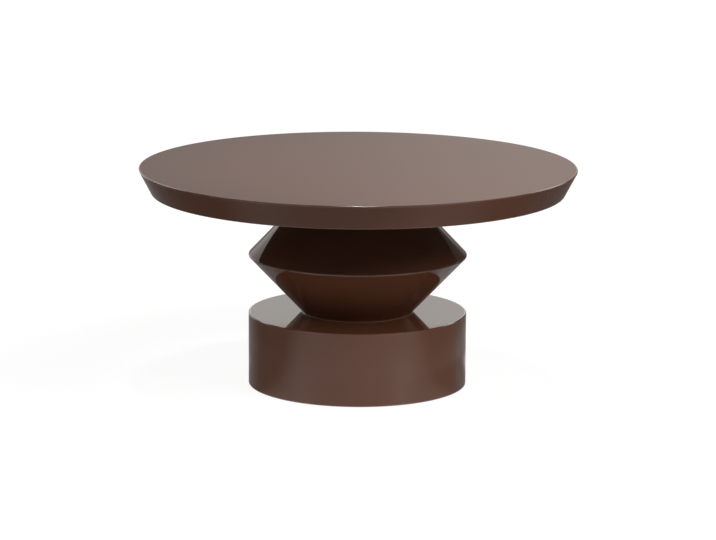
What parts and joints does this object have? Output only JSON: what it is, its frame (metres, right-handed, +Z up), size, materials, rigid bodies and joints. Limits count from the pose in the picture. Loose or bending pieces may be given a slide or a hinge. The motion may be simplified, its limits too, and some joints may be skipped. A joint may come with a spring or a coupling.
{
  "type": "round cocktail table",
  "caption": "Low round table in brown gloss lacquer: bevelled disc top on a double-cone pedestal and a drum base with levelling feet.",
  "frame": {"origin": "on the floor under the middle of the pedestal, level with the undersides of the feet", "axes": "+Z up along the pedestal's axis, -Y towards the camera of the picture, +X to its right"},
  "size_m": [0.9141, 0.914, 0.4619],
  "materials": {
    "brown_lacquer": "gloss",
    "plywood": "matte",
    "black_board": "matte",
    "beech": "satin",
    "black_steel": "satin",
    "zinc_steel": "satin",
    "nylon": "satin"
  },
  "bodies": {
    "table": {"tabletop_upper_board": "brown_lacquer", "tabletop_lower_board": "brown_lacquer", "upper_cone": "brown_lacquer", "lower_cone": "brown_lacquer", "drum_lid": "brown_lacquer", "drum_wall": "brown_lacquer", "top_cleat": "plywood", "drum_rib_right": "plywood", "drum_rib_left": "plywood", "drum_rib_back": "plywood", "drum_rib_front": "plywood", "upper_neck_disc": "plywood", "waist_disc": "plywood", "lower_neck_disc": "plywood", "drum_bottom": "black_board", "glide_blocks": "black_board", "upper_dowels": "beech", "lower_dowels": "beech", "weight_plate": "black_steel", "anchor_plate": "black_steel", "tie_rod": "zinc_steel", "rod_washer": "zinc_steel", "rod_nut": "zinc_steel", "tee_nuts": "zinc_steel", "cleat_screws": "zinc_steel", "bottom_screws": "zinc_steel", "plate_screws": "zinc_steel", "block_screws": "zinc_steel"},
    "leveller_1_pad": {"leveller_1_pad": "nylon"},
    "leveller_1_stud": {"leveller_1_stud": "zinc_steel"},
    "leveller_2_pad": {"leveller_2_pad": "nylon"},
    "leveller_2_stud": {"leveller_2_stud": "zinc_steel"},
    "leveller_3_pad": {"leveller_3_pad": "nylon"},
    "leveller_3_stud": {"leveller_3_stud": "zinc_steel"},
    "leveller_4_pad": {"leveller_4_pad": "nylon"},
    "leveller_4_stud": {"leveller_4_stud": "zinc_steel"}
  },
  "joints": [
    {"name": "leveller_1_travel", "type": "slide", "parent": "table", "child": "leveller_1_pad", "axis": [0, 0, -1], "range_m": [0, 0.0095]},
    {"name": "leveller_1_turn", "type": "hinge", "parent": "leveller_1_pad", "child": "leveller_1_stud", "pos_m": [0.12186, 0.12186, 0.0149], "axis": [0, 0, -1], "range_deg": [0, 2160]},
    {"name": "leveller_2_travel", "type": "slide", "parent": "table", "child": "leveller_2_pad", "axis": [0, 0, -1], "range_m": [0, 0.0095]},
    {"name": "leveller_2_turn", "type": "hinge", "parent": "leveller_2_pad", "child": "leveller_2_stud", "pos_m": [-0.12186, 0.12186, 0.0149], "axis": [0, 0, -1], "range_deg": [0, 2160]},
    {"name": "leveller_3_travel", "type": "slide", "parent": "table", "child": "leveller_3_pad", "axis": [0, 0, -1], "range_m": [0, 0.0095]},
    {"name": "leveller_3_turn", "type": "hinge", "parent": "leveller_3_pad", "child": "leveller_3_stud", "pos_m": [-0.12186, -0.12186, 0.0149], "axis": [0, 0, -1], "range_deg": [0, 2160]},
    {"name": "leveller_4_travel", "type": "slide", "parent": "table", "child": "leveller_4_pad", "axis": [0, 0, -1], "range_m": [0, 0.0095]},
    {"name": "leveller_4_turn", "type": "hinge", "parent": "leveller_4_pad", "child": "leveller_4_stud", "pos_m": [0.12186, -0.12186, 0.0149], "axis": [0, 0, -1], "range_deg": [0, 2160]}
  ],
  "couplings": [
    {"joint": "leveller_1_turn", "follows": "leveller_1_travel", "rad_per_m": 3957.9},
    {"joint": "leveller_2_turn", "follows": "leveller_2_travel", "rad_per_m": 3957.9},
    {"joint": "leveller_3_turn", "follows": "leveller_3_travel", "rad_per_m": 3957.9},
    {"joint": "leveller_4_turn", "follows": "leveller_4_travel", "rad_per_m": 3957.9}
  ]
}
